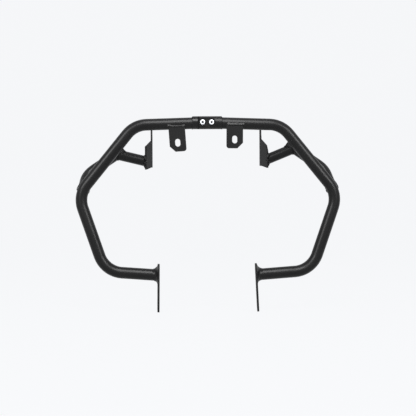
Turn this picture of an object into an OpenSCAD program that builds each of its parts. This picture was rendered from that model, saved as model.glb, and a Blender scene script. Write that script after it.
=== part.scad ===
/* [Main loop] */
// Outside diameter of the tube of the main loop
loop_d = 25.4; // [23:0.1:27]
// Wall of the tube of the main loop
loop_wall = 2.5; // [1.5:0.1:3.5]
// How much thinner both tubes draw in their bends, on the diameter
bend_thinning = 0.2; // [0.1:0.05:0.5]
// Bend radius of the main loop, to the middle of the tube
loop_bend_r = 56; // [44:1:60]
// Height of the centre joint above the feet of the lower plates
joint_z = 413.2; // [405:0.1:425]
// How far the upper corner of the loop lies from the middle
top_corner_x = 160.8; // [155:0.1:170]
// Drop from the joint to the upper corner of the loop
top_corner_drop = 4.9; // [0:0.1:12]
// How far the widest corner of the loop lies from the middle
wide_corner_x = 284; // [275:0.5:300]
// Height of the widest corner of the loop
wide_corner_z = 256; // [250:0.5:262]
// How far the lower corner of the loop lies from the middle
low_corner_x = 226.3; // [218:0.1:234]
// Height of the lower corner of the loop
low_corner_z = 88.9; // [84:0.1:94]
// Slope of the bottom run of the loop, falling towards the middle
bottom_slope = 4.2; // [0:0.1:8]

/* [Centre joint] */
// How far the joint lies to the left of the middle
joint_offset = 2.3; // [-4:0.1:4]
// Diameter of the turned plugs that join the two halves
plug_d = 28.4; // [27.2:0.1:31]
// Length of the full round shoulder of each plug
shoulder_l = 11.5; // [8:0.5:18]
// How far each half lap reaches to either side of the middle
lap_reach = 17; // [16:0.1:24]
// Open gap between the end of a lap and the other plug's shoulder
lap_end_gap = 3.4; // [1:0.1:5]
// Clearance between the two flat faces of the laps
lap_clearance = 0.3; // [0.1:0.05:0.6]
// Length of each plug's spigot inside its tube
spigot_l = 26; // [15:1:40]
// Clearance of the spigot in the tube's bore, on the diameter
spigot_clearance = 0.3; // [0.1:0.05:0.8]
// Spacing of the two joint screws
screw_pitch = 19.5; // [17:0.5:20]
// Thread size of the joint screws
screw_d = 6; // [5:1:8]
// Diameter of the screw heads
head_d = 11; // [10:0.1:13]
// Length of the joint screws under the head
screw_l = 20; // [17:1:22]
// Clearance of the screw holes in the front lap, on the diameter
screw_clearance = 0.6; // [0.4:0.1:1.2]
// Clearance round a screw head in the milled pocket, on the diameter
pocket_clearance = 6; // [2:0.5:8]
// Depth of the pocket below the crown of the front lap
pocket_depth = 5.5; // [4:0.1:7]
// Radius of the weld ring between plug and tube
ring_r = 1.8; // [1.4:0.1:3]

/* [Braces] */
// Outside diameter of the brace tubes
brace_d = 24; // [20:0.1:25.4]
// Wall of the brace tubes
brace_wall = 2; // [1.5:0.1:3]
// Outside diameter of the straight struts
strut_d = 23.4; // [19:0.1:24]
// Bend radius of the braces, to the middle of the tube
brace_bend_r = 42; // [34:1:46]
// How far strut and brace meet from the middle, left then right
brace_top_x = [205, 196]; // [184:0.5:214]
// Height at which strut and brace meet, left then right
brace_top_z = [348.4, 361.1]; // [342:0.1:366]
// How far behind the loop strut and brace meet
brace_top_y = 58; // [52:1:64]
// How far the brace runs on past that point to its closed end
brace_head_l = 18; // [16:0.5:26]
// Thickness of the cap that closes the brace
brace_cap_t = 3; // [1.5:0.5:5]
// How far the outer bend of the brace lies from the middle, left then right
brace_out_x = [270, 261]; // [256:0.5:276]
// Height of the outer bend of the brace, left then right
brace_out_z = [302.1, 313.1]; // [294:0.1:318]
// How far the outer bend of the brace lies behind the loop
brace_out_y = 38; // [35:1:42]
// Where on the widest bend the brace lands, as an angle above its middle
brace_land_angle = 20; // [16:1:24]
// Leg of the welds that join strut, brace and main loop
brace_weld_leg = 2; // [1.5:0.5:4]

/* [Middle plates] */
// Thickness of the frame plates and tabs
plate_t = 4; // [3:0.5:6]
// Toe of the frame plates, their rear edges standing further apart
plate_toe = 3.5; // [0:0.5:6]
// Diameter of the frame bolt holes
bolt_hole_d = 10.5; // [8.5:0.5:12]
// How far the fold of the middle plate lies from the middle, left then right
mid_x = [125.9, 122.2]; // [116:0.1:132]
// How far the fold of the middle plate lies behind the loop
mid_y = 97; // [94:1:102]
// Toe of the folded wing, its front edge standing further out
wing_toe = 16.5; // [12:0.5:22]
// Depth of the folded wing
wing_l = 42; // [38:1:48]
// Inner radius of the fold
fold_r = 4; // [2:0.5:8]
// Depth of the flat strip behind the fold
strip_w = 28; // [24:1:36]
// Height of the lowest corner of the middle plate, left then right
mid_low_z = [313.8, 316.8]; // [311:0.2:319]
// Rise of the plate's bottom edge from the wing's tip to the fold
mid_low_rise = 8; // [0:1:12]
// Height of the wing's upright front edge
wing_front_h = 36; // [34:1:44]
// Height at which the wing's sloping top begins
wing_shoulder_h = 52; // [48:1:60]
// How far that place stands back from the front edge, left then right
wing_shoulder_back = [1, 8]; // [0:0.5:10]
// Rise of the wing's sloping top from the front edge to the fold
wing_top_rise = 17; // [8:1:24]
// Height of the strip's top above the wing's top at the fold, left then right
strip_rise = [38.2, 35.2]; // [30:0.1:42]
// Depth of the ear at the top of the strip
ear_w = 22; // [20:1:24]
// Height of the ear, from where the strip narrows to its top
ear_h = 27; // [24:1:32]
// Rounding between strip and ear, and at the strip's free corners
strip_round = 5; // [2:0.5:8]
// Depth of the ear's bolt hole below the ear's top
ear_hole_drop = 13; // [11:1:16]
// Spacing of the ear's bolt hole and the lower one
strip_hole_pitch = 66; // [50:1:70]
// Height above the plate's lowest corner at which the strut meets the wing, left then right
strut_rise = [19.1, 19.5]; // [16:0.1:24]
// How far from the fold the strut meets the wing
strut_foot_l = 31; // [28:0.5:32]
// Leg of the weld round the strut's foot
foot_weld_leg = 4; // [2:0.5:6]

/* [Lower plates] */
// How far the outer face of the lower plate lies from the middle, left then right
low_plate_x = [111.9, 106.2]; // [100:0.1:120]
// Height of the lower plates
low_plate_h = 104.5; // [98:0.5:112]
// Width of the lower plates
low_plate_w = 40; // [36:1:50]
// Corner radius of the lower plates
low_plate_r = 12; // [4:1:16]
// Lean of the lower plates, feet outward, left then right
low_plate_lean = [0.6, 2.6]; // [0:0.1:4]
// Height of the lower bolt hole above the foot
low_hole_z = 17; // [12:1:20]
// Spacing of the two bolt holes of the lower plate
low_hole_pitch = 28; // [16:1:30]
// Leg of the hollow weld round the bottom run, along tube and plate
low_weld_leg = 9; // [6:0.5:12]
// Thickness of that weld at its edges
low_weld_toe = 0.8; // [0.4:0.1:1.5]

/* [Front tabs] */
// Width of a front tab
tab_w = 36; // [32:0.5:44]
// How far the slot of the tab lies from the middle, left then right
slot_x = [66.3, 57.6]; // [48:0.1:76]
// Drop from the joint's middle to the middle of the slot, left then right
slot_drop = [44.4, 37.8]; // [34:0.1:50]
// Turn of the tab in its own plane, foot towards the middle, left then right
tab_turn = [4, 0.5]; // [0:0.1:6]
// Length of the tab below the slot's middle
tab_low = 19.2; // [16:0.2:24]
// Cut of the tab's outer lower corner
tab_chamfer = 12; // [6:0.5:14]
// Rounding of the tab's inner lower corner
tab_round = 6; // [2:0.5:10]
// Width of the slot
slot_w = 11; // [8.5:0.5:12]
// Length of the slot
slot_l = 17; // [14:0.5:20]
// How far the tab's front face lies behind the front of the tube, left then right
tab_set_back = [1.5, 0.5]; // [0.3:0.1:2.5]
// Radius of the weld bead along the top of the tab
bead_r = 3.2; // [2.5:0.1:4]
// How far the bead runs past the tab's outer edge
bead_overrun = 3; // [0:0.5:6]

/* [Hidden] */
$fn = 72;
LEFT = 0;
RIGHT = 1;
BLACK = "#26272a";
STEEL = "#c9ccd0";
// A cut reaches this far past what it cuts
past = 2;
// A block larger than any joint it trims
trim = 70;
// The full round of a straight run reaches this far into a bend
bend_grip = 1;
// Number of flats that stand for the round of the fold
fold_steps = 6;

function unit(v) = v / norm(v);

// Main loop
loop_r = loop_d / 2;
shoulder_x = lap_reach + lap_end_gap;
function joint_x(side) = side == LEFT ? joint_offset : -joint_offset;
function tube_x(side) = joint_x(side) + shoulder_x + shoulder_l;
top_slope = top_corner_drop / top_corner_x;
function low_tube_z(side) =
    low_corner_z - (low_corner_x - low_plate_x[side]) * tan(bottom_slope);
function top_run_z(x) = joint_z - x * top_slope;
function top_start(side) = [tube_x(side), 0, top_run_z(tube_x(side))];
top_corner = [top_corner_x, 0, joint_z - top_corner_drop];
wide_corner = [wide_corner_x, 0, wide_corner_z];
low_corner = [low_corner_x, 0, low_corner_z];
function low_end(side) = [low_plate_x[side], 0, low_tube_z(side)];
function loop_points(side) =
    [top_start(side), top_corner, wide_corner, low_corner, low_end(side)];
top_run_dir = unit([1, 0, -top_slope]);
low_run_dir = [-cos(bottom_slope), 0, -sin(bottom_slope)];

// Widest bend: its centre, and the point where the brace lands
wide_in = unit(wide_corner - top_corner);
wide_out = unit(low_corner - wide_corner);
wide_turn = acos(wide_in * wide_out);
wide_centre = wide_corner + unit(wide_out - wide_in) * loop_bend_r / cos(wide_turn / 2);
land_dir = [cos(brace_land_angle), 0, sin(brace_land_angle)];
brace_end = wide_centre + land_dir * loop_bend_r;

// Centre joint
plug_r = plug_d / 2;
head_h = screw_d;
socket_w = screw_d * 5 / 6;
pocket_r = (head_d + pocket_clearance) / 2;
pocket_y = plug_r - pocket_depth;
spigot_r = loop_r - loop_wall - spigot_clearance / 2;

// Middle plate, in plan: the wing runs forward from the fold, the strip rearward
wing_dir = [sin(wing_toe), -cos(wing_toe), 0];
strip_dir = [sin(plate_toe), cos(plate_toe), 0];
wing_normal = [cos(wing_toe), sin(wing_toe), 0];
strip_normal = [cos(plate_toe), -sin(plate_toe), 0];
UP = [0, 0, 1];
fold_angle = wing_toe + plate_toe;
fold_back = (fold_r + plate_t) * tan(fold_angle / 2);
function fold_low_z(side) = mid_low_z[side] + mid_low_rise;
function fold_top_z(side) = mid_low_z[side] + wing_shoulder_h + wing_top_rise;
function strip_top_z(side) = fold_top_z(side) + strip_rise[side];
function strut_low_z(side) = mid_low_z[side] + strut_rise[side];
function fold_at(side) = [mid_x[side], mid_y, 0];
function flat(v) = [v.x, v.y];
fold_centre = wing_dir * fold_back + wing_normal * (fold_r + plate_t);
// Points of the fold at a radius, from the strip round to the wing
function fold_arc(r) = [
    for (i = [0:fold_steps])
        let (a = -plate_toe + fold_angle * i / fold_steps)
            flat(fold_centre) - r * [cos(a), sin(a)]
];
fold_wing = [for (i = [fold_steps:-1:0]) fold_arc(fold_r)[i]];
fold_plan = concat(
    [flat(strip_dir * strip_w)],
    fold_arc(fold_r + plate_t),
    [flat(wing_dir * wing_l), flat(wing_dir * wing_l + wing_normal * plate_t)],
    fold_wing,
    [flat(strip_dir * strip_w + strip_normal * plate_t)]
);

// Struts and braces
strut_r = strut_d / 2;
brace_r = brace_d / 2;
function strut_foot(side) = fold_at(side) + wing_dir * strut_foot_l + wing_normal * plate_t
    + UP * strut_low_z(side);
function brace_top(side) = [brace_top_x[side], brace_top_y, brace_top_z[side]];
function brace_out(side) = [brace_out_x[side], brace_out_y, brace_out_z[side]];
function strut_dir(side) = unit(brace_top(side) - strut_foot(side));
function brace_head_dir(side) = unit(brace_top(side) - brace_out(side));
function brace_points(side) = [
    brace_top(side) + brace_head_dir(side) * (brace_head_l - brace_cap_t),
    brace_out(side),
    brace_end
];

// Front tabs
function tab_front(side) = loop_r - tab_set_back[side];
function tab_top_drop(side) = sqrt(loop_r * loop_r - tab_front(side) * tab_front(side));
function slot_z(side) = joint_z - slot_drop[side];

// Middle of the whole assembly from front to rear
front_y = -max(tab_front(RIGHT) + bead_r, low_plate_w / 2 * cos(plate_toe));
rear_y = mid_y + strip_w * cos(plate_toe);
middle_y = (front_y + rear_y) / 2;

// Turns the x and y axes onto two square directions and moves to a point
module facing(x_dir, y_dir, at) {
    z_dir = cross(x_dir, y_dir);
    multmatrix([
        [x_dir.x, y_dir.x, z_dir.x, at.x],
        [x_dir.y, y_dir.y, z_dir.y, at.y],
        [x_dir.z, y_dir.z, z_dir.z, at.z]
    ]) children();
}

// A straight round bar between two points
module rod(from, to, r) {
    z_dir = unit(to - from);
    x_dir = unit(cross([0, 1, 0], z_dir));
    facing(x_dir, cross(z_dir, x_dir), from) cylinder(h = norm(to - from), r = r);
}

// How far a bend's round starts before its corner point
function setback(bend_r, turn) = bend_r * tan(turn / 2);

// Directions of the straight runs between corner points
function run_dirs(points) = [for (i = [1:len(points) - 1]) unit(points[i] - points[i - 1])];

// Square direction, across run d, that the next run e bends towards
function bend_side(d, e) = unit(e - d * (d * e));

// A round bar through corner points, drawn as a bender makes it: feed, turn, bend
module bent_rod(points, bend_r, r, start_extra = 0, end_extra = 0) {
    dirs = run_dirs(points);
    side = bend_side(dirs[0], dirs[1]);
    facing(side, cross(dirs[0], side), points[0])
        next_run(points, dirs, side, bend_r, r, 1, 0, start_extra, end_extra);
}

// The run up to corner i, the bend there and all that follows
module next_run(points, dirs, side, bend_r, r, i, fed, before, end_extra) {
    last = i == len(points) - 1;
    turn = last ? 0 : acos(dirs[i - 1] * dirs[i]);
    back = setback(bend_r, turn);
    feed = norm(points[i] - points[i - 1]) - fed - back;
    beyond = last ? end_extra : bend_grip;
    translate([0, 0, -before]) cylinder(h = before + feed + beyond, r = r);
    if (!last) {
        towards = bend_side(dirs[i - 1], dirs[i]);
        roll = atan2(cross(side, towards) * dirs[i - 1], side * towards);
        after = towards * cos(turn) - dirs[i - 1] * sin(turn);
        translate([0, 0, feed]) rotate([0, 0, roll]) {
            translate([bend_r, 0, 0]) rotate([90, 0, 180])
                rotate_extrude(angle = turn) translate([bend_r, 0]) circle(r - bend_thinning / 2);
            translate([bend_r, 0, 0]) rotate([0, turn, 0]) translate([-bend_r, 0, 0])
                next_run(points, dirs, after, bend_r, r, i + 1, back, bend_grip, end_extra);
        }
    }
}

// The outer form of the main loop's tube, grown by an extra radius
module loop_form(side, grow = 0) {
    bent_rod(loop_points(side), loop_bend_r, loop_r + grow);
}

// Parts are drawn for the right half, and mirrored for the left
module on_side(side) {
    translate([0, -middle_y, 0])
        if (side == LEFT) mirror([1, 0, 0]) children();
        else children();
}

// Frame of the lower plate: x points out from its outer face, y to the rear
module on_low_plate(side) {
    translate(low_end(side))
        rotate([0, 0, -plate_toe]) rotate([0, -low_plate_lean[side], 0]) children();
}

// All that lies on the inner side of the lower plate's outer face
module inside_low_plate(side) {
    on_low_plate(side) translate([-trim, -trim / 2, -trim / 2]) cube(trim);
}

// Frame of the wing: x runs forward along its outer face, y up, z inward
module on_wing(side) {
    facing(wing_dir, UP, fold_at(side) + wing_normal * plate_t) children();
}

// All that lies on the inner side of the wing's outer face
module inside_wing(side) {
    on_wing(side) translate([wing_l / 2 - trim / 2, strut_low_z(side) - trim / 2, 0]) cube(trim);
}

// Bent tube of one half, from the centre joint down to the lower plate
module loop_tube(side) {
    color(BLACK) difference() {
        bent_rod(loop_points(side), loop_bend_r, loop_r, past, past + 1);
        bent_rod(loop_points(side), loop_bend_r, loop_r - loop_wall, past * 2, past * 3);
        translate([tube_x(side) - trim, -trim / 2, joint_z - trim / 2]) cube(trim);
        inside_low_plate(side);
    }
}

// Turned plug of the centre joint: spigot, shoulder and half lap.
// The right plug carries the front lap, the left plug the rear one.
module lap_plug(side) {
    front = side == RIGHT;
    color(BLACK) difference() {
        union() {
            at_joint(side) lap_bar(-lap_reach);
            intersection() {
                rod(
                    top_start(side) - top_run_dir * past,
                    top_start(side) + top_run_dir * spigot_l,
                    spigot_r
                );
                translate([tube_x(side) - past / 2, -trim / 2, joint_z - trim / 2]) cube(trim);
            }
        }
        at_joint(side) {
            lap_relief(front);
            if (front) screw_pocket();
            joint_holes(front ? screw_d + screw_clearance : screw_d);
        }
    }
}

// Frame of the centre joint, with the middle of the laps at the origin
module at_joint(side) {
    translate([joint_x(side), 0, joint_z]) children();
}

// Round bar of the plug, from a place along the joint out to the end of its shoulder
module lap_bar(from_x) {
    rod([from_x, 0, 0], [shoulder_x + shoulder_l, 0, 0], plug_r);
}

// What is milled away to leave a half lap in front or behind
module lap_relief(front) {
    y = front ? -lap_clearance / 2 : lap_clearance / 2 - trim;
    translate([shoulder_x - trim, y, -trim / 2]) cube(trim);
}

// Flat bottomed pocket for the screw heads, open at the end of the front lap
module screw_pocket() {
    translate([screw_pitch / 2, -pocket_y, 0])
        rotate([90, 0, 0]) {
            cylinder(h = trim, r = pocket_r);
            translate([-trim, -pocket_r, 0]) cube([trim, pocket_r * 2, trim]);
        }
}

// The two holes across the laps
module joint_holes(d) {
    for (x = [-1, 1] * screw_pitch / 2)
        translate([x, trim / 2, 0]) rotate([90, 0, 0]) cylinder(h = trim, d = d);
}

// Weld ring in the corner between the plug's shoulder and the tube
module lap_weld(side) {
    start = top_start(side);
    color(BLACK) difference() {
        facing([0, 1, 0], cross(top_run_dir, [0, 1, 0]), start)
            rotate_extrude() translate([loop_r, 0]) circle(ring_r);
        rod(start - top_run_dir * trim, start + top_run_dir * trim, loop_r);
        at_joint(side) lap_bar(0);
    }
}

// Socket head screw of the centre joint, its head in the pocket
module joint_screw(side) {
    color(STEEL) at_joint(side) translate([screw_pitch / 2, -pocket_y, 0]) rotate([90, 0, 0]) {
        difference() {
            union() {
                cylinder(h = head_h - head_d / 16, d = head_d);
                translate([0, 0, head_h - head_d / 16])
                    cylinder(h = head_d / 16, d1 = head_d, d2 = head_d * 7 / 8);
            }
            translate([0, 0, head_h / 2]) cylinder(h = head_h, d = socket_w / cos(30), $fn = 6);
        }
        translate([0, 0, -screw_l]) cylinder(h = screw_l, d = screw_d);
    }
}

// The outer form of the brace with its cap, grown by an extra radius
module brace_form(side, grow = 0) {
    bent_rod(brace_points(side), brace_bend_r, brace_r + grow, brace_cap_t + grow, 0);
}

// Bent brace tube, open to its cap and coped to the main loop
module brace_tube(side) {
    color(BLACK) difference() {
        bent_rod(brace_points(side), brace_bend_r, brace_r);
        bent_rod(brace_points(side), brace_bend_r, brace_r - brace_wall, past, 0);
        loop_form(side);
    }
}

// Flat cap that closes the brace beyond the strut
module brace_cap(side) {
    head = brace_points(side)[0];
    color(BLACK) rod(head, head + brace_head_dir(side) * brace_cap_t, brace_r);
}

// Weld round the coped end of the brace on the main loop
module brace_weld(side) {
    color(BLACK) difference() {
        intersection() {
            brace_form(side, brace_weld_leg);
            loop_form(side, brace_weld_leg);
        }
        bent_rod(brace_points(side), brace_bend_r, brace_r, 0, past);
        loop_form(side);
    }
}

// A round bar on the middle line of the strut, from beyond its foot to the brace
module strut_bar(side, r) {
    rod(strut_foot(side) - strut_dir(side) * trim / 2, brace_top(side), r);
}

// Straight strut, cut flat at the wing and coped to the brace
module strut_tube(side) {
    color(BLACK) difference() {
        strut_bar(side, strut_r);
        strut_bar(side, strut_r - brace_wall);
        inside_wing(side);
        brace_form(side);
    }
}

// Weld round the coped end of the strut on the brace
module strut_weld(side) {
    color(BLACK) difference() {
        intersection() {
            strut_bar(side, strut_r + brace_weld_leg);
            brace_form(side, brace_weld_leg);
        }
        strut_bar(side, strut_r);
        brace_form(side);
    }
}

// Folded middle plate: the wing takes the strut, the strip takes the bolts
module mid_plate(side) {
    low = mid_low_z[side] - past;
    color(BLACK) difference() {
        intersection() {
            translate(fold_at(side) + UP * low)
                linear_extrude(strip_top_z(side) - low + past) polygon(fold_plan);
            translate([0, mid_y, 0]) rotate([90, 0, 90])
                linear_extrude(mid_x[side] + trim) mid_outline(side);
        }
        strip_holes(side);
    }
}

// Outline of the middle plate seen from the side, with the narrower ear on top
module mid_outline(side) {
    front = -wing_l * cos(wing_toe);
    rear = strip_w * cos(plate_toe);
    low_z = mid_low_z[side];
    top_z = strip_top_z(side);
    ear_low_z = top_z - ear_h;
    round_d = strip_round * 2;
    polygon([
        [front - past, low_z + mid_low_rise / front * past],
        [0, fold_low_z(side)],
        [rear - strip_round, fold_low_z(side)],
        [rear - strip_round, ear_low_z],
        [0, ear_low_z],
        [0, fold_top_z(side)],
        [front + wing_shoulder_back[side], low_z + wing_shoulder_h],
        [front, low_z + wing_front_h],
        [front - past, low_z + wing_front_h]
    ]);
    translate([rear - round_d, fold_low_z(side) + strip_round])
        square([round_d + past, top_z - fold_low_z(side) - round_d]);
    translate([rear - ear_w, ear_low_z - past])
        square([ear_w - strip_round, top_z - strip_round - ear_low_z + past]);
    translate([rear - ear_w + strip_round, top_z - round_d])
        square([ear_w - round_d, round_d]);
    translate([rear - strip_round, fold_low_z(side) + strip_round]) circle(strip_round);
    for (y = [rear - strip_round, rear - ear_w + strip_round])
        translate([y, top_z - strip_round]) circle(strip_round);
    difference() {
        translate([rear - ear_w - strip_round, ear_low_z - past])
            square([strip_round * 2, past + strip_round]);
        translate([rear - ear_w - strip_round, ear_low_z + strip_round]) circle(strip_round);
    }
}

// The two frame bolt holes of the strip
module strip_holes(side) {
    ear_hole_z = strip_top_z(side) - ear_hole_drop;
    for (z = [ear_hole_z, ear_hole_z - strip_hole_pitch])
        facing(strip_dir, UP, fold_at(side) + strip_dir * (strip_w - ear_w / 2) + UP * z)
            translate([0, 0, -plate_t]) cylinder(h = plate_t * 3, d = bolt_hole_d);
}

// Weld round the foot of the strut on the wing
module mid_weld(side) {
    color(BLACK) difference() {
        intersection() {
            strut_bar(side, strut_r + foot_weld_leg);
            on_wing(side) translate([0, strut_low_z(side) - trim / 2, -foot_weld_leg])
                cube([trim, trim, foot_weld_leg]);
        }
        strut_bar(side, strut_r);
    }
}

// Flat lower plate with its two frame bolt holes
module lower_plate(side) {
    lean = low_plate_lean[side];
    foot = -(low_tube_z(side) - plate_t * sin(lean)) / cos(lean);
    inset = low_plate_w / 2 - low_plate_r;
    color(BLACK) on_low_plate(side) rotate([90, 0, 90]) translate([0, 0, -plate_t]) difference() {
        linear_extrude(plate_t) {
            translate([-low_plate_w / 2, foot + low_plate_r])
                square([low_plate_w, low_plate_h - low_plate_r * 2]);
            translate([-inset, foot]) square([inset * 2, low_plate_h]);
            for (x = [-inset, inset], y = [low_plate_r, low_plate_h - low_plate_r])
                translate([x, foot + y]) circle(low_plate_r);
        }
        for (y = [low_hole_z, low_hole_z + low_hole_pitch])
            translate([0, foot + y, -plate_t]) cylinder(h = plate_t * 3, d = bolt_hole_d);
    }
}

// Hollow weld between the bottom run and the lower plate
module lower_weld(side) {
    edge = low_weld_leg + low_weld_toe;
    color(BLACK) difference() {
        facing([0, 1, 0], cross(low_run_dir, [0, 1, 0]), low_end(side))
            rotate_extrude() translate([loop_r, 0]) difference() {
                translate([-past, -low_weld_leg]) square([low_weld_leg + past, low_weld_leg + past * 2]);
                translate([edge, -edge]) circle(low_weld_leg);
            }
        rod(low_end(side) - low_run_dir * trim, low_end(side) + low_run_dir * trim, loop_r);
        inside_low_plate(side);
    }
}

// Front tab with its slot, coped under the front of the tube
module tab(side) {
    high = slot_drop[side];
    color(BLACK) difference() {
        on_tab(side) difference() {
            linear_extrude(plate_t) {
                difference() {
                    translate([-tab_w / 2, -tab_low]) square([tab_w, tab_low + high]);
                    translate([tab_w / 2, -tab_low]) rotate(45)
                        square(tab_chamfer * sqrt(2), center = true);
                    translate([-tab_w / 2, -tab_low]) square(tab_round * 2, center = true);
                }
                translate([tab_round - tab_w / 2, tab_round - tab_low]) circle(tab_round);
            }
            slot();
        }
        above_tab_top(side);
        top_rod(side);
    }
}

// Frame of a tab: x outward, y up, z to the front, the slot's middle at the origin
module on_tab(side) {
    translate([slot_x[side], plate_t - tab_front(side), slot_z(side)])
        rotate([0, tab_turn[side], 0]) rotate([90, 0, 0]) children();
}

// Upright slot with round ends
module slot() {
    reach = (slot_l - slot_w) / 2;
    translate([0, 0, -plate_t]) {
        translate([-slot_w / 2, -reach, 0]) cube([slot_w, reach * 2, plate_t * 3]);
        for (y = [-reach, reach]) translate([0, y, 0]) cylinder(h = plate_t * 3, d = slot_w);
    }
}

// The straight top run of the loop's tube
module top_rod(side) {
    rod(top_start(side), top_corner, loop_r);
}

// Place on the top run in line with a tab, turned along the run
module on_top_run(side) {
    translate([slot_x[side], 0, top_run_z(slot_x[side])]) rotate([0, atan(top_slope), 0]) children();
}

// Everything over the line where the tab's front face runs into the tube
module above_tab_top(side) {
    on_top_run(side) translate([-trim / 2, -trim / 2, -tab_top_drop(side)]) cube(trim);
}

// Weld bead along the top of a tab, round at both ends
module tab_weld(side) {
    shift = sin(tab_turn[side]) * slot_drop[side];
    from = shift - tab_w / 2 + bead_r;
    to = shift + tab_w / 2 + bead_overrun - bead_r;
    color(BLACK) difference() {
        on_top_run(side) translate([0, -tab_front(side), -tab_top_drop(side) + bead_r / 2]) {
            translate([from, 0, 0]) rotate([0, 90, 0]) cylinder(h = to - from, r = bead_r);
            for (x = [from, to]) translate([x, 0, 0]) sphere(bead_r);
        }
        top_rod(side);
        on_tab(side) translate([-trim / 2, -trim, 0]) cube([trim, trim * 2, plate_t]);
    }
}

on_side(LEFT) loop_tube(LEFT);  // left_loop_tube
on_side(LEFT) lap_plug(LEFT);  // left_lap_plug
on_side(LEFT) lap_weld(LEFT);  // left_lap_weld
on_side(LEFT) brace_tube(LEFT);  // left_brace_tube
on_side(LEFT) brace_cap(LEFT);  // left_brace_cap
on_side(LEFT) brace_weld(LEFT);  // left_brace_weld
on_side(LEFT) strut_tube(LEFT);  // left_strut_tube
on_side(LEFT) strut_weld(LEFT);  // left_strut_weld
on_side(LEFT) mid_plate(LEFT);  // left_mid_plate
on_side(LEFT) mid_weld(LEFT);  // left_mid_weld
on_side(LEFT) lower_plate(LEFT);  // left_lower_plate
on_side(LEFT) lower_weld(LEFT);  // left_lower_weld
on_side(LEFT) tab(LEFT);  // left_tab
on_side(LEFT) tab_weld(LEFT);  // left_tab_weld
on_side(LEFT) joint_screw(LEFT);  // left_joint_screw
on_side(RIGHT) loop_tube(RIGHT);  // right_loop_tube
on_side(RIGHT) lap_plug(RIGHT);  // right_lap_plug
on_side(RIGHT) lap_weld(RIGHT);  // right_lap_weld
on_side(RIGHT) brace_tube(RIGHT);  // right_brace_tube
on_side(RIGHT) brace_cap(RIGHT);  // right_brace_cap
on_side(RIGHT) brace_weld(RIGHT);  // right_brace_weld
on_side(RIGHT) strut_tube(RIGHT);  // right_strut_tube
on_side(RIGHT) strut_weld(RIGHT);  // right_strut_weld
on_side(RIGHT) mid_plate(RIGHT);  // right_mid_plate
on_side(RIGHT) mid_weld(RIGHT);  // right_mid_weld
on_side(RIGHT) lower_plate(RIGHT);  // right_lower_plate
on_side(RIGHT) lower_weld(RIGHT);  // right_lower_weld
on_side(RIGHT) tab(RIGHT);  // right_tab
on_side(RIGHT) tab_weld(RIGHT);  // right_tab_weld
on_side(RIGHT) joint_screw(RIGHT);  // right_joint_screw
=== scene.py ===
# %% [markdown]
# # Crash bars for a motorcycle
#
# Two halves of bent steel tube meet in a half-lap joint at the top, and two bright
# screws hold them together. Behind each half a strut and a bent brace carry a folded
# plate. That plate and a flat one below bolt to the frame, and a slotted tab hangs at
# the front. The model with its real sizes comes in ready made. What is made here is
# what the eye adds to it: the rippled weld seams, the screws with their knurled heads,
# the satin black coat, and the pale room and soft lamps of a product picture.

import math
import random

import bmesh
import bpy
from mathutils import Matrix, Vector


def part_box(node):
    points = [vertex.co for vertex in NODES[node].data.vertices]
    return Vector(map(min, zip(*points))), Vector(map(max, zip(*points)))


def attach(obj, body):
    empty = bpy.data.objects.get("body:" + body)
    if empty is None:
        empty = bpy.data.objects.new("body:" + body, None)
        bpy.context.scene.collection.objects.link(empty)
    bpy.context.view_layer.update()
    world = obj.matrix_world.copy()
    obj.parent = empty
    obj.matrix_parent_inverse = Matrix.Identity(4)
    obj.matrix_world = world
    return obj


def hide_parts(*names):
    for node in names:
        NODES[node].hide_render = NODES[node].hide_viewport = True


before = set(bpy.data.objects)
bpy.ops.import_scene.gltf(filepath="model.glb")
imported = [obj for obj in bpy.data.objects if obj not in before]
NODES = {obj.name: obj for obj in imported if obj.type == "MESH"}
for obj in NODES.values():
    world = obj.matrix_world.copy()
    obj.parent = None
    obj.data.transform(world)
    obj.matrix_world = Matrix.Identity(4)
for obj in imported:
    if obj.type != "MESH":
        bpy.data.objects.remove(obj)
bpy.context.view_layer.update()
MM = 0.001
print("pieces in the model:", len(NODES))

# %% [markdown]
# ## A way to write finishes as sums
#
# A finish is a graph of nodes, and most of the nodes do plain arithmetic. Drawn by
# hand, the graph is easy to get lost in. So a small class wraps a socket and gives it
# the usual operators: adding two of them makes the Add node. Every other node comes
# from one method, which takes the kind of node, its settings and its inputs.

# %% Values and graphs
class Value:
    """A number, colour or direction that varies over a surface."""

    def __init__(self, graph, socket):
        self.graph = graph
        self.socket = socket

    def __add__(self, other):
        return self.graph.maths("ADD", self, other)

    def __mul__(self, other):
        return self.graph.maths("MULTIPLY", self, other)

    def __sub__(self, other):
        return self.graph.maths("SUBTRACT", self, other)

    def __rsub__(self, other):
        return self.graph.maths("SUBTRACT", other, self)

    def __abs__(self):
        return self.graph.maths("ABSOLUTE", self)

    __radd__ = __add__
    __rmul__ = __mul__


class Graph:
    """A tree of nodes, and the one method that adds to it."""

    def __init__(self, tree):
        self.tree = tree

    def add(self, kind, settings=None, inputs=None, output=0):
        node = self.tree.nodes.new(kind)
        for name, value in (settings or {}).items():
            setattr(node, name, value)
        for name, value in (inputs or {}).items():
            self.feed(node.inputs[name], value)
        return Value(self, node.outputs[output])

    def feed(self, socket, value):
        if isinstance(value, Value):
            self.tree.links.new(value.socket, socket)
        else:
            socket.default_value = value

    def maths(self, operation, *numbers):
        inputs = dict(enumerate(numbers))
        return self.add("ShaderNodeMath", {"operation": operation}, inputs)


print("a graph adds any node, and sums of values add theirs")

# %% [markdown]
# ## What every finish shares
#
# A finish is a material with its main shader. Its patterns are noise, ramps that turn
# noise into masks, and blends of two colours. They all read the Object coordinates, so
# that a pattern stays with its piece. Edges are found by the Bevel node, which rounds
# the shading of a sharp edge without any new faces.

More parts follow.
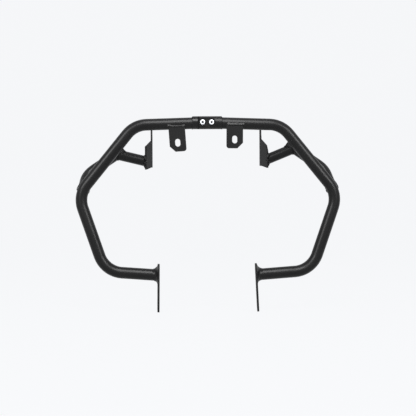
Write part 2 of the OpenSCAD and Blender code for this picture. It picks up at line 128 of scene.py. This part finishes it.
# %% Finishes
class Finish(Graph):
    """A material with its main shader."""

    def __init__(self, name):
        self.material = bpy.data.materials.new(name)
        self.material.use_nodes = True
        super().__init__(self.material.node_tree)
        self.shader = self.tree.nodes["Principled BSDF"]
        self.place = self.add("ShaderNodeTexCoord", output="Object")

    def shade(self, **inputs):
        for name, value in inputs.items():
            self.feed(self.shader.inputs[name.replace("_", " ")], value)

    def noise(self, size, detail):
        """Soft random spots of about this size in metres, from 0 to 1."""
        inputs = {"Vector": self.place, "Scale": 1 / size, "Detail": detail}
        return self.add("ShaderNodeTexNoise", inputs=inputs)

    def ramp(self, value, low, high):
        """0 below low, 1 above high, and smooth between them."""
        inputs = {"Value": value, "From Min": low, "From Max": high}
        return self.add("ShaderNodeMapRange", {"interpolation_type": "SMOOTHSTEP"}, inputs)

    def blend(self, mask, below, above):
        """One colour where the mask is 0, the other where it is 1."""
        inputs = {"Factor": mask, 6: below, 7: above}
        return self.add("ShaderNodeMix", {"data_type": "RGBA"}, inputs, output=2)

    def soft_edges(self, radius):
        """Shading as if each edge had a small round, and a mask of those edges."""
        rounded = self.add("ShaderNodeBevel", {"samples": 6}, {"Radius": radius})
        plain = self.add("ShaderNodeNewGeometry", output="Normal")
        dot = {"operation": "DOT_PRODUCT"}
        agree = self.add("ShaderNodeVectorMath", dot, {0: rounded, 1: plain}, "Value")
        return rounded, self.ramp(1 - agree, 0.02, 0.2)

    def bump(self, height, distance, strength, normal=None):
        """A height from 0 to 1 as fine relief, so many metres deep."""
        inputs = {"Height": height, "Distance": distance, "Strength": strength}
        if normal:
            inputs["Normal"] = normal
        return self.add("ShaderNodeBump", inputs=inputs)


print("helpers for finishes are ready")

# %% [markdown]
# ## Satin black powder coat
#
# Powder is baked on until it flows together. It keeps a faint orange peel, a relief
# about a millimetre across and a few hundredths deep, with a finer grain that takes
# the gloss down to satin. On sharp edges the coat draws thin and shines a little
# more. The tubes, plates and welds were coated together, so they share this finish,
# and it reads each piece's own place so that no two tubes look alike. It dries duller
# on the rolled sheet of the frame plates than on the drawn tubes, and glossier on the
# smooth turned shoulder of the left plug, so its mean roughness is a setting.

# %% The coat
COAT = (0.0020, 0.0020, 0.0021, 1)
COAT_WORN = (0.0060, 0.0060, 0.0062, 1)
PEEL = 1.3 * MM
GRAIN = 0.25 * MM
CLOUD = 60 * MM
SHEEN = 0.22


def powder_coat(name, relief, edge_radius, roughness):
    """The coat with relief this deep, edges this round and this mean roughness."""
    finish = Finish(name)
    peel = finish.noise(PEEL, detail=1.0)
    grain = finish.noise(GRAIN, detail=3.0)
    cloud = finish.noise(CLOUD, detail=3.0)
    rounded, edges = finish.soft_edges(edge_radius)
    dusty = finish.ramp(cloud, 0.35, 0.75) * 0.35 + edges * 0.5
    uneven = (cloud - 0.5) * 0.08 + (grain - 0.5) * 0.06
    height = peel * 0.8 + grain * 0.2
    finish.shade(
        Base_Color=finish.blend(dusty, COAT, COAT_WORN),
        Roughness=uneven - edges * 0.04 + roughness,
        Normal=finish.bump(height, relief, 0.6, rounded),
        Specular_IOR_Level=SHEEN,
    )
    return finish.material


print("the peel is", round(PEEL / MM, 2), "mm across")

# %% One coat for each kind of surface
SATIN = 0.335
DULL = 0.6
GLOSSY = 0.25

# name, depth of the relief, round of the edges, mean roughness
coat = powder_coat("powder_coat", 0.02 * MM, 0.5 * MM, SATIN)
weld_coat = powder_coat("powder_coat_on_weld", 0.05 * MM, 0.3 * MM, SATIN)
plate_coat = powder_coat("powder_coat_on_plate", 0.02 * MM, 0.5 * MM, DULL)
turned_coat = powder_coat("powder_coat_on_turned_plug", 0.01 * MM, 0.5 * MM, GLOSSY)
print("coats:", coat.name, weld_coat.name, plate_coat.name, turned_coat.name)

# %% [markdown]
# ## Bright zinc
#
# The two joint screws are zinc plated steel, the only bright metal on the bars. Zinc
# is a metal mirror blurred by fine turning marks and by faint bluish patches. Down in
# the key sockets the colour is painted near black: painted shade for the dark recess,
# with some oil and soot. The sockets could have a slot of their own, but a mask that
# finds them by their place lets the painted shade and soot fade in at the rim.

# %% The painted shade and soot in the sockets
SHADE_AND_SOOT_REACH = 3.0 * MM
SHADE_AND_SOOT_FADE = 0.1 * MM
SHADE_AND_SOOT_DEPTH = 0.15 * MM


# the mask of the painted shade, with some soot, down in the key sockets
def in_sockets(finish):
    """1 down the middle of both screws, seen in the key sockets only, else 0."""
    low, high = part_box("left_joint_screw")
    other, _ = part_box("right_joint_screw")
    x, y, z = (
        finish.add("ShaderNodeSeparateXYZ", inputs={0: finish.place}, output=axis)
        for axis in "XYZ"
    )
    middle = (high.x + other.x) / 2
    apart = abs(other.x - low.x) / 2
    sideways = abs(x - middle) - apart
    upward = z - (low.z + high.z) / 2
    away = sideways * sideways + upward * upward
    inner, outer = SHADE_AND_SOOT_REACH - SHADE_AND_SOOT_FADE, SHADE_AND_SOOT_REACH + SHADE_AND_SOOT_FADE
    outside = finish.ramp(away, inner * inner, outer * outer)
    return (1 - outside) * finish.ramp(y, low.y + SHADE_AND_SOOT_DEPTH, low.y + 3 * SHADE_AND_SOOT_DEPTH)


print("the soot reaches", round(SHADE_AND_SOOT_REACH / MM, 2), "mm from a socket's middle")

# %% The zinc
ZINC = (0.66, 0.67, 0.68, 1)
ZINC_DULL = (0.52, 0.54, 0.58, 1)
# painted shade: a near black that stands for the shade down in the key sockets, with some
# soot
SOCKET_SHADE_AND_SOOT = (0.012, 0.012, 0.012, 1)
PATCH = 3 * MM
TURNING_MARK = 0.12 * MM
METALLIC = 0.7


def bright_zinc():
    finish = Finish("bright_zinc")
    patches = finish.noise(PATCH, detail=3.0)
    marks = finish.noise(TURNING_MARK, detail=2.0)
    shade_and_soot = in_sockets(finish)
    plating = finish.blend(finish.ramp(patches, 0.3, 0.7), ZINC, ZINC_DULL)
    finish.shade(
        # painted shade with some soot: the key sockets are darkened where the recess lies
        # in shade
        Base_Color=finish.blend(shade_and_soot, plating, SOCKET_SHADE_AND_SOOT),
        Metallic=METALLIC - shade_and_soot * METALLIC,
        Roughness=0.40 + patches * 0.1,
        Normal=finish.bump(marks, 0.02 * MM, 0.3),
    )
    return finish.material


zinc = bright_zinc()
print("metal:", zinc.name)

# %% [markdown]
# ## A bench to model on
#
# Operators work on whatever is selected, so each piece starts with an empty
# selection and ends with its place pressed into its mesh. Two small helpers do that.
# Two more apply a modifier, and hand a finished piece over in place of a plain one.

# %% Helpers for pieces
SMOOTH_BELOW = 40


def clear_selection():
    bpy.ops.object.select_all(action="DESELECT")


def press_in_place(piece):
    """Moves the object's place, turn and size into its mesh."""
    clear_selection()
    piece.select_set(True)
    bpy.context.view_layer.objects.active = piece
    bpy.ops.object.transform_apply(location=True, rotation=True, scale=True)


def apply_modifier(piece, kind, **settings):
    modifier = piece.modifiers.new(kind.lower(), kind)
    for name, value in settings.items():
        setattr(modifier, name, value)
    bpy.context.view_layer.objects.active = piece
    bpy.ops.object.modifier_apply(modifier=modifier.name)


def hand_over(piece, name, node, material):
    """The finished piece takes the place of a plain node of the model."""
    piece.name = name
    piece.data.name = name
    piece.data.materials.clear()
    piece.data.materials.append(material)
    clear_selection()
    piece.select_set(True)
    bpy.context.view_layer.objects.active = piece
    bpy.ops.object.shade_smooth_by_angle(angle=math.radians(SMOOTH_BELOW))
    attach(piece, "root")
    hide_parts(node)
    print(name, "has", len(piece.data.polygons), "faces")


print("new pieces look smooth where faces meet at under", SMOOTH_BELOW, "degrees")

# %% [markdown]
# ## One scale of a weld
#
# A welder's bead is laid as a row of small overlapping puddles, each frozen before
# the next, which is why it looks like a row of fallen coins. One such scale is
# modelled here: a ball, with its trailing side flattened in edit mode. Every seam is
# made of copies of it, which then melt together in a voxel remesh.

# %% The weld scale
TRAILING = -0.2
FLATTER = (0.55, 0.92, 0.9)


def make_scale():
    clear_selection()
    bpy.ops.mesh.primitive_uv_sphere_add(segments=14, ring_count=10, radius=1)
    scale = bpy.context.object
    scale.name = "weld_scale"
    bpy.ops.object.mode_set(mode="EDIT")
    bpy.ops.mesh.select_all(action="DESELECT")
    mesh = bmesh.from_edit_mesh(scale.data)
    for corner in mesh.verts:
        corner.select_set(corner.co.x < TRAILING)
    mesh.select_flush_mode()
    bmesh.update_edit_mesh(scale.data)
    bpy.ops.transform.resize(value=FLATTER, center_override=(0, 0, 0))
    bpy.ops.object.mode_set(mode="OBJECT")
    return scale


SCALE = make_scale()
print("one weld scale:", len(SCALE.data.polygons), "faces")

# %% [markdown]
# ## Where a seam runs
#
# A fillet lies in the corner where a tube meets another surface. To find that corner,
# rays run along the skin of the tube and stop on the other piece. Each stop gives
# a point of the seam and the direction that its surface faces. This works for a
# flat plate and just as well for a brace that lands on the round of a bend.

# %% Tracing a seam
SEAM_POINTS = 120


def first_hit(nodes, start, towards):
    """Where a ray first stops on any of the nodes, with the normal there, or None."""
    stops = [NODES[node].ray_cast(start, towards) for node in nodes]
    stops = [(point, normal) for hit, point, normal, _ in stops if hit]
    return min(stops, key=lambda stop: (stop[0] - start).length, default=None)


def tube_seam(start, towards, radius, nodes):
    """Points round a tube where its skin meets a node, each with the node's normal
    there and the tube's own outward direction."""
    side = towards.orthogonal().normalized()
    other = towards.cross(side)
    seam = []
    for i in range(SEAM_POINTS):
        angle = 2 * math.pi * i / SEAM_POINTS
        skin = side * math.cos(angle) + other * math.sin(angle)
        stop = first_hit(nodes, start + skin * radius, towards)
        if stop:
            seam.append((stop[0], stop[1].normalized(), skin))
    return seam


def seam_length(seam):
    ends = zip(seam, seam[1:] + seam[:1])
    return sum((b[0] - a[0]).length for a, b in ends)


print("seams are traced at", SEAM_POINTS, "points")

# %% [markdown]
# ## Laying a bead
#
# The bead is laid at an even pitch along the seam. Each scale leans the way the
# torch went and differs a little from its neighbours, by seeded chance. Its two legs
# say how far it reaches over the tube and over the other piece.

# %% Laying scales
LEAN = math.radians(22)
CHANCE = 0.06


def step_along(seam, pitch):
    """Seam points at an even pitch, each with the direction of travel."""
    count = max(3, round(seam_length(seam) / pitch))
    for i in range(count):
        at = i * len(seam) / count
        here = seam[int(at)]
        after = seam[(int(at) + 1) % len(seam)]
        yield tuple(a.lerp(b, at % 1) for a, b in zip(here, after)), after[0] - here[0]


def lay_scale(centre, along, out, half_sizes, lean, chance):
    """One copy of the weld scale, leaning along the seam."""
    across = out.cross(along).normalized()
    along = across.cross(out).normalized()
    turn = Matrix((along, across, out)).transposed().to_4x4()
    sizes = [size * chance.uniform(1 - CHANCE, 1 + CHANCE) for size in half_sizes]
    tilt = Matrix.Rotation(-lean, 4, "Y")
    copy = bpy.data.objects.new("scale", SCALE.data.copy())
    size = Matrix.Diagonal(sizes + [1])
    copy.data.transform(Matrix.Translation(centre) @ turn @ tilt @ size)
    bpy.context.scene.collection.objects.link(copy)
    return copy


print("the size of a scale varies by a share of", CHANCE, "either way")

# %% Melting them to a bead
VOXEL = 0.33 * MM
SUNK_BY = 0.35
LONG_BY = 1.25


def melt_together(scales):
    clear_selection()
    for scale in scales:
        scale.select_set(True)
    bpy.context.view_layer.objects.active = scales[0]
    bpy.ops.object.join()
    bead = bpy.context.object
    apply_modifier(bead, "REMESH", mode="VOXEL", voxel_size=VOXEL)
    apply_modifier(bead, "SMOOTH", factor=0.5, iterations=1)
    return bead


def fillet(seam, leg_on_tube, leg_on_face, bulge, pitch, seed):
    """A ring of scales in the corner of the seam, each sunk a little into it."""
    chance = random.Random(seed)
    half_width = math.hypot(leg_on_tube, leg_on_face) / 2
    sizes = (pitch * LONG_BY, half_width, bulge)
    scales = []
    for (point, face, skin), travel in step_along(seam, pitch):
        out = (face * leg_on_face + skin * leg_on_tube).normalized()
        middle = point + (face * leg_on_tube + skin * leg_on_face) / 2
        centre = middle - out * bulge * SUNK_BY
        scales.append(lay_scale(centre, travel, out, sizes, LEAN, chance))
    return melt_together(scales)


print("a bead is melted together at", round(VOXEL / MM, 2), "mm")

# %% [markdown]
# ## The seams of each half
#
# Four rippled seams of each half go round a tube: at the shoulder of the lap plug, at
# the foot and the head of the strut, and where the brace lands on the loop. The fifth,
# at the lower plate, comes after. The loop lies in one upright plane, whose place is
# read from the lap plug, as the plug is turned about the same line. The corner points
# below are those of the middle lines of the tubes. They are written for the right half,
# in millimetres, with both halves where they differ.

# %% The middle lines of the tubes
LOOP_Y = sum(corner.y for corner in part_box("left_lap_plug")) / 2
LOOP_R = 12.7
BRACE_R = 12.0
STRUT_R = 11.7
TOP_CORNER = (160.8, 0, 408.3)
LOW_CORNER = (226.3, 0, 88.9)
BRACE_END = (273.55, 0, 264.08)
TOP_START = {"left": (34.2, 0, 412.16), "right": (29.6, 0, 412.3)}
LOW_END = {"left": (111.9, 0, 80.5), "right": (106.2, 0, 80.08)}
STRUT_FOOT = {"left": (138.54, 68.41, 332.9), "right": (134.84, 68.41, 336.3)}
BRACE_TOP = {"left": (205, 58, 348.4), "right": (196, 58, 361.1)}
BRACE_OUT = {"left": (270, 38, 302.1), "right": (261, 38, 313.1)}


def placed(side, point):
    """A point of the right half's drawing, in the model, on either side."""
    x, y, z = point
    return Vector((-x if side == "left" else x, y, z)) * MM + Vector((0, LOOP_Y, 0))


print("the loop lies at y =", round(LOOP_Y / MM, 2), "mm")

# %% The seams round the tubes
RAY_RUN = 34 * MM


def run_seam(side, near, far, radius, nodes):
    """The seam at the near end of a straight run that comes from the far point."""
    near, far = placed(side, near), placed(side, far)
    towards = (near - far).normalized()
    start = near - towards * min(RAY_RUN, (near - far).length)
    return tube_seam(start, towards, radius * MM, [f"{side}_{node}" for node in nodes])


def ring_welds(side, seed):
    # name of the weld, near point, far point, tube radius, what it meets,
    # leg on the tube, leg on the face, bulge, pitch
    plug, plate = ("lap_plug",), ("mid_plate",)
    brace, loop = ("brace_tube", "brace_cap"), ("loop_tube",)
    foot, top, out = STRUT_FOOT[side], BRACE_TOP[side], BRACE_OUT[side]
    rows = (
        ("lap_weld", TOP_START[side], TOP_CORNER, LOOP_R, plug, 1.6, 1.1, 0.8, 1.5),
        ("mid_weld", foot, top, STRUT_R, plate, 4.6, 4.2, 2.2, 3.0),
        ("strut_weld", top, foot, STRUT_R, brace, 1.5, 1.3, 0.7, 1.6),
        ("brace_weld", BRACE_END, out, BRACE_R, loop, 1.8, 1.6, 0.9, 1.8),
    )
    for weld, near, far, radius, nodes, on_tube, on_face, bulge, pitch in rows:
        seam = run_seam(side, near, far, radius, nodes)
        seed += 1
        bead = fillet(seam, on_tube * MM, on_face * MM, bulge * MM, pitch * MM, seed)
        weld = f"{side}_{weld}"
        hand_over(bead, f"{weld}_bead", weld, weld_coat)


for seed, side in ((10, "left"), (20, "right")):
    ring_welds(side, seed)

# %% [markdown]
# ## The hollow weld at the lower plate
#
# The bottom run meets its plate in the largest weld of all. It's laid in several passes
# and flares out from the tube like the foot of a trumpet, further up the plate than
# down. A torus already has the right make: it's a ring of small closed sections. So
# each of its sections is laid out anew in the corner that the rays found: two sides
# sunk a little into tube and plate, and a hollow curve from one edge to the other, with
# the faint ridges of the passes.

# %% One section of the flare
FLARE_POINTS = 16
PASSES = 3
SUNK = 0.6 * MM
PROUD = 0.2 * MM
RIDGE = 0.16 * MM
FILLED = 0.18


def flare_section(corner, face, skin, on_tube, on_plate):
    """Points of one section: round the back of the corner, then over the hollow."""
    back = [
        corner + skin * on_plate - face * SUNK,
        corner - skin * SUNK - face * SUNK,
        corner + face * on_tube - skin * SUNK,
    ]
    start = corner + face * on_tube + skin * PROUD
    end = corner + skin * on_plate + face * PROUD
    bend = corner + (face + skin) * FILLED * (on_tube + on_plate) / 2
    steps = FLARE_POINTS - len(back)
    front = []
    for i in range(steps):
        t = i / (steps - 1)
        point = start * (1 - t) ** 2 + bend * 2 * t * (1 - t) + end * t * t
        ridge = RIDGE * math.sin(PASSES * math.pi * t) ** 2
        front.append(point + (face + skin) * ridge)
    return back + front


print("a section of the flare has", FLARE_POINTS, "points")

# %% The flares
ON_TUBE = 7.5
ON_PLATE = 6.6
MORE_AT_TOP = 5.0
FLARE_CHANCE = 0.15


def flare_weld(side, seed):
    chance = random.Random(seed)
    seam = run_seam(side, LOW_END[side], LOW_CORNER, LOOP_R, ["lower_plate"])
    clear_selection()
    bpy.ops.mesh.primitive_torus_add(
        major_segments=SEAM_POINTS,
        minor_segments=FLARE_POINTS,
        major_radius=20 * MM,
        minor_radius=5 * MM,
    )
    flare = bpy.context.object
    corners = flare.data.vertices
    for i, (point, face, skin) in enumerate(seam):
        # further out at the top than at the bottom, and never quite even
        more = MORE_AT_TOP * (1 + skin.z) / 2
        on_tube = (ON_TUBE + more + chance.uniform(-FLARE_CHANCE, FLARE_CHANCE)) * MM
        on_plate = (ON_PLATE + more + chance.uniform(-FLARE_CHANCE, FLARE_CHANCE)) * MM
        section = flare_section(point, face, skin, on_tube, on_plate)
        for j, place in enumerate(section):
            corners[i * FLARE_POINTS + j].co = place
    bpy.ops.object.mode_set(mode="EDIT")
    bpy.ops.mesh.select_all(action="SELECT")
    bpy.ops.mesh.normals_make_consistent(inside=False)
    bpy.ops.object.mode_set(mode="OBJECT")
    weld = f"{side}_lower_weld"
    hand_over(flare, f"{weld}_flare", weld, weld_coat)


flare_weld("left", 41)
flare_weld("right", 42)

# %% [markdown]
# ## The bead over each tab
#
# The tab hangs from the front of the tube on one straight bead, which the photo shows
# running a few millimetres past the tab's outer edge, with a flat bright face. So the
# scales are laid in a row between the ends of the model's plain bead, melted together,
# and ground flat with a cut that's filled in again.

# %% Grinding
def grind(bead, place, facing):
    """Takes off all that stands out past a plane and closes the cut."""
    clear_selection()
    bead.select_set(True)
    bpy.context.view_layer.objects.active = bead
    bpy.ops.object.mode_set(mode="EDIT")
    bpy.ops.mesh.select_all(action="SELECT")
    bpy.ops.mesh.bisect(plane_co=place, plane_no=facing, use_fill=True, clear_outer=True)
    bpy.ops.object.mode_set(mode="OBJECT")


print("a bead can be ground flat")

# %% The tab beads
BEAD_R = 3.2 * MM
BEAD_PITCH = 2.3 * MM
BEAD_SIZES = (BEAD_PITCH * 1.5, BEAD_R * 1.05, BEAD_R * 0.65)
BEAD_BEHIND = BEAD_R * 0.8
BEAD_OUT = Vector((0, -0.92, 0.39))
SLIGHT_LEAN = math.radians(6)
GROUND_AT = 1.1 * MM


def tab_weld(side, seed):
    chance = random.Random(seed)
    weld = f"{side}_tab_weld"
    low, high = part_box(weld)
    y = low.y + BEAD_BEHIND
    start = Vector((low.x + BEAD_R, y, low.z + BEAD_R))
    end = Vector((high.x - BEAD_R, y, high.z - BEAD_R))
    if side == "right":
        start.z, end.z = high.z - BEAD_R, low.z + BEAD_R
    along = end - start
    count = round(along.length / BEAD_PITCH)
    places = [start + along * i / count for i in range(count + 1)]
    scales = [
        lay_scale(place, along, BEAD_OUT, BEAD_SIZES, SLIGHT_LEAN, chance)
        for place in places
    ]
    bead = melt_together(scales)
    grind(bead, (start + end) / 2 + BEAD_OUT * GROUND_AT, BEAD_OUT)
    hand_over(bead, f"{weld}_bead", weld, weld_coat)


tab_weld("left", 31)
tab_weld("right", 32)
bpy.data.objects.remove(SCALE)

# %% [markdown]
# ## The joint screws
#
# A cap screw has a tall round head with a fine straight knurl for the fingers, a
# small bevel on top and a six-sided socket for the key. The knurl is made in edit mode:
# every other upright strip of the head's side is drawn in a little. The socket is cut
# with a boolean, and the shank is a second primitive with a bevelled end. It's modelled
# once at the origin, head up, and each joint screw is a copy of it turned to the front.

# %% Tools for a turned piece
NEAR = 0.01 * MM


def add_cylinder(corners, radius, low, high):
    """An upright cylinder between two heights."""
    clear_selection()
    middle = (0, 0, (low + high) / 2)
    bpy.ops.mesh.primitive_cylinder_add(
        vertices=corners, radius=radius, depth=high - low, location=middle
    )
    piece = bpy.context.object
    press_in_place(piece)
    return piece


def bevel_rim(piece, height, width, segments):
    """Bevels the rim that lies at this height."""
    bpy.ops.object.mode_set(mode="EDIT")
    bpy.ops.mesh.select_all(action="DESELECT")
    mesh = bmesh.from_edit_mesh(piece.data)
    for edge in mesh.edges:
        off = max(abs(corner.co.z - height) for corner in edge.verts)
        edge.select_set(off < NEAR)
    bmesh.update_edit_mesh(piece.data)
    bpy.ops.mesh.bevel(offset=width, segments=segments)
    bpy.ops.object.mode_set(mode="OBJECT")


print("a rim is found within", round(NEAR / MM, 3), "mm of its height")

# %% The knurl
KNURLS = 36


def knurl(piece, low, high, depth):
    """Extrudes every other strip of the side inwards between two heights."""
    bpy.ops.object.mode_set(mode="EDIT")
    for height in (low, high):
        bpy.ops.mesh.select_all(action="SELECT")
        bpy.ops.mesh.bisect(plane_co=(0, 0, height), plane_no=(0, 0, 1))
    mesh = bmesh.from_edit_mesh(piece.data)
    for face in mesh.faces:
        middle = face.calc_center_median()
        turns = math.atan2(middle.y, middle.x) / (2 * math.pi)
        strip = round(turns * KNURLS * 2 - 0.5)
        upright = abs(face.normal.z) < 0.1 and low < middle.z < high
        face.select_set(upright and strip % 2 == 0)
    bmesh.update_edit_mesh(piece.data)
    inwards = {"value": -depth}
    bpy.ops.mesh.extrude_region_shrink_fatten(TRANSFORM_OT_shrink_fatten=inwards)
    bpy.ops.object.mode_set(mode="OBJECT")


print("a knurl has", KNURLS, "grooves")

# %% The cap screw
HEAD_R = 5.5 * MM
HEAD_H = 6 * MM
TOP_BEVEL = 0.8 * MM
FOOT_BEVEL = 0.2 * MM
KNURL_LOW = 0.5 * MM
KNURL_HIGH = HEAD_H - 1.1 * MM
KNURL_DEEP = 0.22 * MM
SOCKET_R = 2.89 * MM
SOCKET_DEEP = 3.2 * MM
SHANK_R = 2.95 * MM
SHANK_L = 20 * MM
SHANK_IN_HEAD = 0.1 * MM
TIP_BEVEL = 0.7 * MM


def make_cap_screw():
    """The screw with its head up, and the foot of the head at the origin."""
    head = add_cylinder(KNURLS * 2, HEAD_R, 0, HEAD_H)
    bevel_rim(head, HEAD_H, TOP_BEVEL, 3)
    bevel_rim(head, 0, FOOT_BEVEL, 1)
    knurl(head, KNURL_LOW, KNURL_HIGH, KNURL_DEEP)
    socket = add_cylinder(6, SOCKET_R, HEAD_H - SOCKET_DEEP, HEAD_H + 2 * MM)
    apply_modifier(head, "BOOLEAN", operation="DIFFERENCE", object=socket, solver="EXACT")
    bpy.data.objects.remove(socket)
    shank = add_cylinder(32, SHANK_R, -SHANK_L, SHANK_IN_HEAD)
    bevel_rim(shank, -SHANK_L, TIP_BEVEL, 1)
    clear_selection()
    shank.select_set(True)
    head.select_set(True)
    bpy.context.view_layer.objects.active = head
    bpy.ops.object.join()
    return head


def joint_screw(screw, side):
    """A copy of the cap screw in place of the plain one, its head's foot in the pocket."""
    low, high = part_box(f"{side}_joint_screw")
    middle = (low + high) / 2
    copy = bpy.data.objects.new("screw", screw.data.copy())
    copy.location = (middle.x, low.y + HEAD_H, middle.z)
    copy.rotation_euler = (math.radians(90), 0, 0)
    bpy.context.scene.collection.objects.link(copy)
    press_in_place(copy)
    hand_over(copy, f"{side}_cap_screw", f"{side}_joint_screw", zinc)


cap_screw = make_cap_screw()
print("one cap screw:", len(cap_screw.data.polygons), "faces")
for side in ("left", "right"):
    joint_screw(cap_screw, side)
bpy.data.objects.remove(cap_screw)

# %% [markdown]
# ## The black pieces
#
# The tubes, plugs, plates and tabs keep the shapes of the model and get the coat.
# Their meshes aren't touched: only the material in their slots changes.

# %% Dressing the nodes
def finish_of(node):
    if node.endswith("joint_screw"):
        return zinc
    if node.endswith("_plate"):
        return plate_coat
    return turned_coat if node == "left_lap_plug" else coat


for node, piece in NODES.items():
    piece.data.materials.clear()
    piece.data.materials.append(finish_of(node))
print("dressed:", len(NODES), "nodes")

# %% [markdown]
# ## The room
#
# The photo has an even pale ground with no corner in it. So the floor rises behind the
# bars in one smooth sweep. What the camera sees of it is mostly its own pale colour,
# with only a little of the shading, so the ground stays even and keeps a soft shadow.
# The coat and the zinc mirror it the same way, and the world beyond the sweep is as
# pale, so the bars look alike from every side without more light on them.

# %% The sweep
SWEEP_WIDE = 9.0
SWEEP_UP = 5.0
SWEEP_BEND = 1.5
SWEEP_AT = (0, -0.5, 0)


def make_sweep():
    clear_selection()
    bpy.ops.mesh.primitive_grid_add(
        x_subdivisions=1, y_subdivisions=1, size=SWEEP_WIDE, location=SWEEP_AT
    )
    sweep = bpy.context.object
    bpy.ops.object.mode_set(mode="EDIT")
    bpy.ops.mesh.select_all(action="DESELECT")
    mesh = bmesh.from_edit_mesh(sweep.data)
    for edge in mesh.edges:
        at_back = all(corner.co.y > SWEEP_WIDE * 0.49 for corner in edge.verts)
        edge.select_set(at_back)
    bmesh.update_edit_mesh(sweep.data)
    bpy.ops.mesh.extrude_region_move(TRANSFORM_OT_translate={"value": (0, 0, SWEEP_UP)})
    bpy.ops.object.mode_set(mode="OBJECT")
    press_in_place(sweep)
    apply_modifier(sweep, "BEVEL", width=SWEEP_BEND, segments=16, limit_method="ANGLE")
    bpy.ops.object.shade_smooth_by_angle(angle=math.radians(60))
    sweep.name = "paper_sweep"
    return sweep


sweep = make_sweep()
print("paper sweep:", len(sweep.data.polygons), "faces")

# %% The paper
PAPER = (0.930, 0.939, 0.956, 1)
PAPER_IN_LIGHT = (0.8, 0.81, 0.82, 1)
OWN_COLOUR = 0.98
PALE_RAYS = ("Is Camera Ray", "Is Glossy Ray", "Is Transmission Ray")


def sees_ground(graph):
    """1 for the rays that meet the pale ground as it's written, and 0 for the rest."""
    seen = sum(graph.add("ShaderNodeLightPath", output=ray) for ray in PALE_RAYS)
    return graph.maths("MINIMUM", seen, 1)


def paper():
    finish = Finish("pale_paper")
    finish.shade(Base_Color=PAPER_IN_LIGHT, Roughness=0.9)
    shaded = Value(finish, finish.shader.outputs[0])
    own = finish.add("ShaderNodeEmission", inputs={"Color": PAPER, "Strength": 1.0})
    share = sees_ground(finish) * OWN_COLOUR
    mixed = finish.add("ShaderNodeMixShader", inputs={0: share, 1: shaded, 2: own})
    finish.feed(finish.tree.nodes["Material Output"].inputs["Surface"], mixed)
    return finish.material


sweep.data.materials.append(paper())
print("the sweep is covered in", sweep.active_material.name)

# %% [markdown]
# ## Lamps
#
# The long bright line lies on the upper front of each level tube, about a third of
# the way down. A round bar shows that line halfway between the eye and the lamp, so the
# main lamp hangs in front, a little under fifty degrees up. The sloping tubes turn away
# from it, so a smaller lamp on either side gives them a line of their own. The lamps
# are large and near, which makes the line wide and soft. All else that lights the bars
# is a dim, even room, which keeps their flat faces nearly black.

# %% The lamps
AIM = Vector((0, LOOP_Y, 0.22))
LAMP_AWAY = 2.2


def soft_lamp(name, away, width, height, power):
    """A rectangular lamp in the direction away from the bars, turned to face them."""
    away = Vector(away).normalized()
    clear_selection()
    bpy.ops.object.light_add(type="AREA", location=AIM + away * LAMP_AWAY)
    lamp = bpy.context.object
    lamp.name = name
    lamp.rotation_euler = away.to_track_quat("Z", "Y").to_euler()
    lamp.data.shape = "RECTANGLE"
    lamp.data.size = width
    lamp.data.size_y = height
    lamp.data.energy = power


# name, direction, width, height, power
soft_lamp("main_lamp", (0.0, -0.67, 0.74), 0.75, 1.45, 46)
soft_lamp("left_lamp", (-0.58, -0.74, 0.40), 0.95, 0.75, 26)
soft_lamp("right_lamp", (0.58, -0.74, 0.40), 0.95, 0.75, 26)
print("lamps:", len(bpy.data.lights))

# %% The light of the room
ROOM_LIGHT = 0.04
world = bpy.data.worlds.new("room")
bpy.context.scene.world = world
world.use_nodes = True
room = Graph(world.node_tree)
walls = world.node_tree.nodes["Background"]
room.feed(walls.inputs["Color"], PAPER)
room.feed(walls.inputs["Strength"], sees_ground(room) * (1 - ROOM_LIGHT) + ROOM_LIGHT)
print("the room lights the bars at", ROOM_LIGHT)

# %% [markdown]
# ## The camera
#
# The picture was taken straight from the front, level with the middle of the bars, a
# degree and a half from the left and turned by a third of a degree. The distance, 1.7 m
# from the loop, follows from how much smaller the braces look than the loop does. The
# lens then follows from how much of the frame the bars fill.

# %% The camera
EYE = (-0.0456, -1.7519, 0.2265)
LENS = 67.2
SENSOR = 36
AZIMUTH = math.radians(1.5)
ROLL = math.radians(0.3)


def make_camera():
    look = Vector((math.sin(AZIMUTH), math.cos(AZIMUTH), 0))
    bpy.ops.object.camera_add(location=EYE)
    camera = bpy.context.object
    camera.name = "camera"
    turn = look.to_track_quat("-Z", "Y").to_matrix() @ Matrix.Rotation(-ROLL, 3, "Z")
    camera.rotation_euler = turn.to_euler()
    camera.data.sensor_width = SENSOR
    camera.data.lens = LENS
    camera.data.clip_end = 50
    return camera


bpy.context.scene.camera = make_camera()
bpy.context.scene.view_settings.view_transform = "Standard"
print("camera at", EYE, "with a lens of", LENS, "mm")

# %% [markdown]
# ## Last update
#
# The view layer is brought up to date.

# %% Bringing the view layer up to date
bpy.context.view_layer.update()
